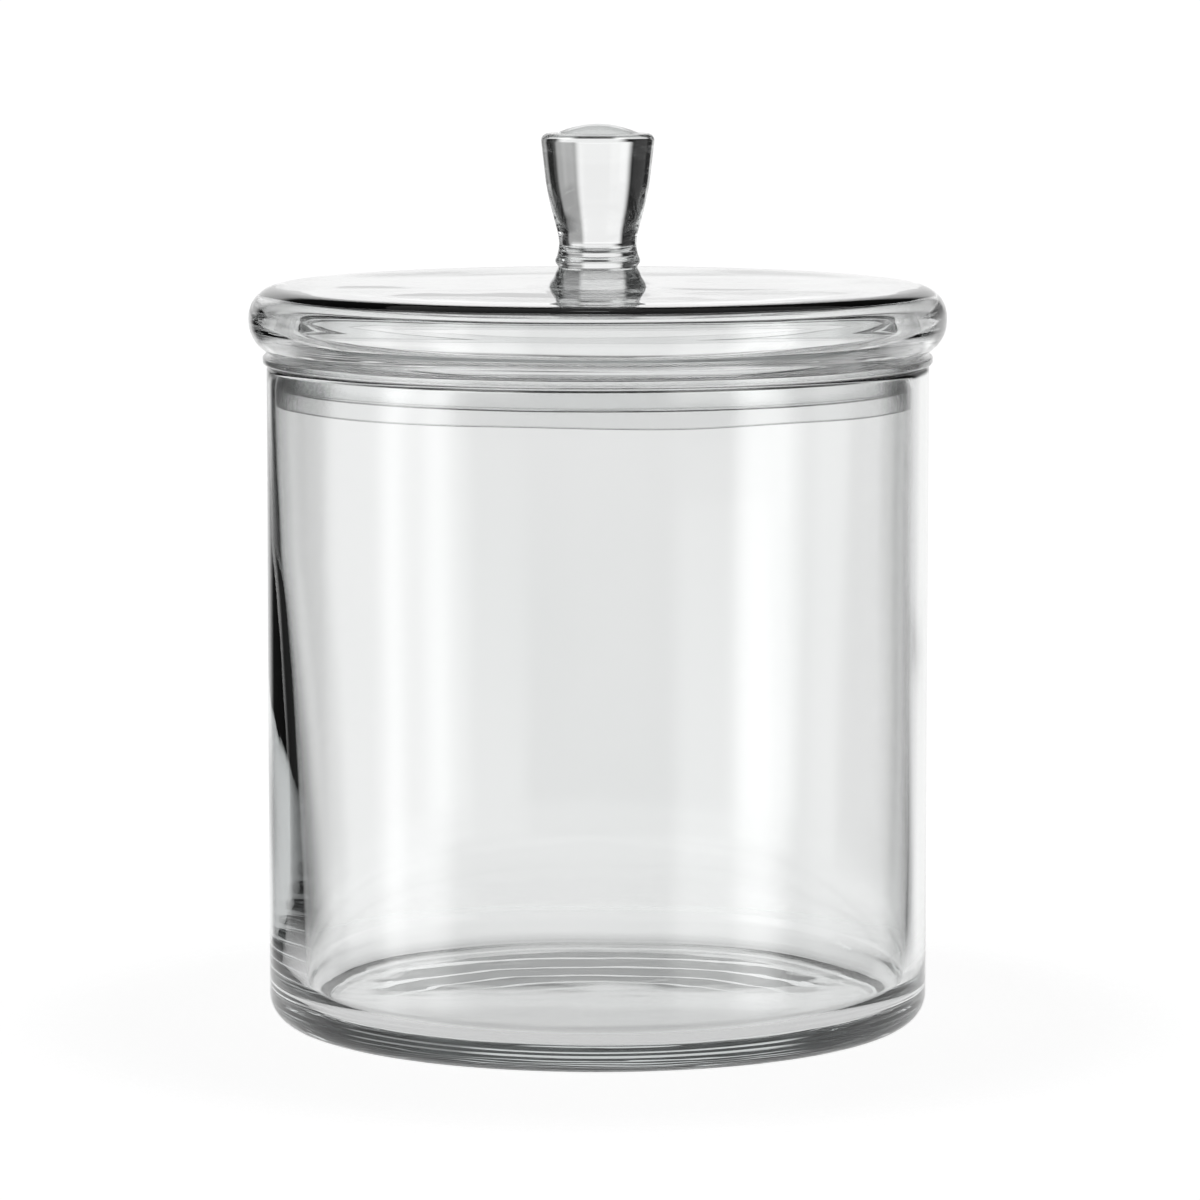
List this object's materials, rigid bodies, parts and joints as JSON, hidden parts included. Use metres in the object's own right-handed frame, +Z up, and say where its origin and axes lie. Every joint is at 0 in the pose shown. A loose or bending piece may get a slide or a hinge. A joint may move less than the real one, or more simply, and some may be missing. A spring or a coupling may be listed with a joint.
{
  "type": "storage canister",
  "caption": "Clear glass storage canister: a straight-sided jar, a hollow glass lid with a tapered knob, and a soft seal ring in the mouth.",
  "frame": {"origin": "centre of the base, on the surface that the jar stands on", "axes": "+Z up along the axis of the jar, lid and knob; X and Y are any two level directions, because every piece is round"},
  "size_m": [0.1548, 0.1548, 0.2],
  "materials": {
    "jar_glass": "clear blown soda-lime glass, fire-polished",
    "lid_glass": "clear blown soda-lime glass, fire-polished",
    "knob_glass": "clear solid glass with faint streaks",
    "seal_plastic": "soft milky translucent plastic, satin"
  },
  "bodies": {
    "jar": {"jar": "jar_glass"},
    "seal_ring": {"seal_ring": "seal_plastic"},
    "lid": {"lid": "lid_glass", "knob": "knob_glass"}
  },
  "joints": [
    {"name": "lid_lift", "type": "slide", "parent": "jar", "child": "seal_ring", "axis": [0, 0, 1], "range_m": [0, 0.025]},
    {"name": "lid_turn", "type": "hinge", "parent": "seal_ring", "child": "lid", "pos_m": [0, 0, 0.155], "axis": [0, 0, 1], "continuous": true}
  ]
}
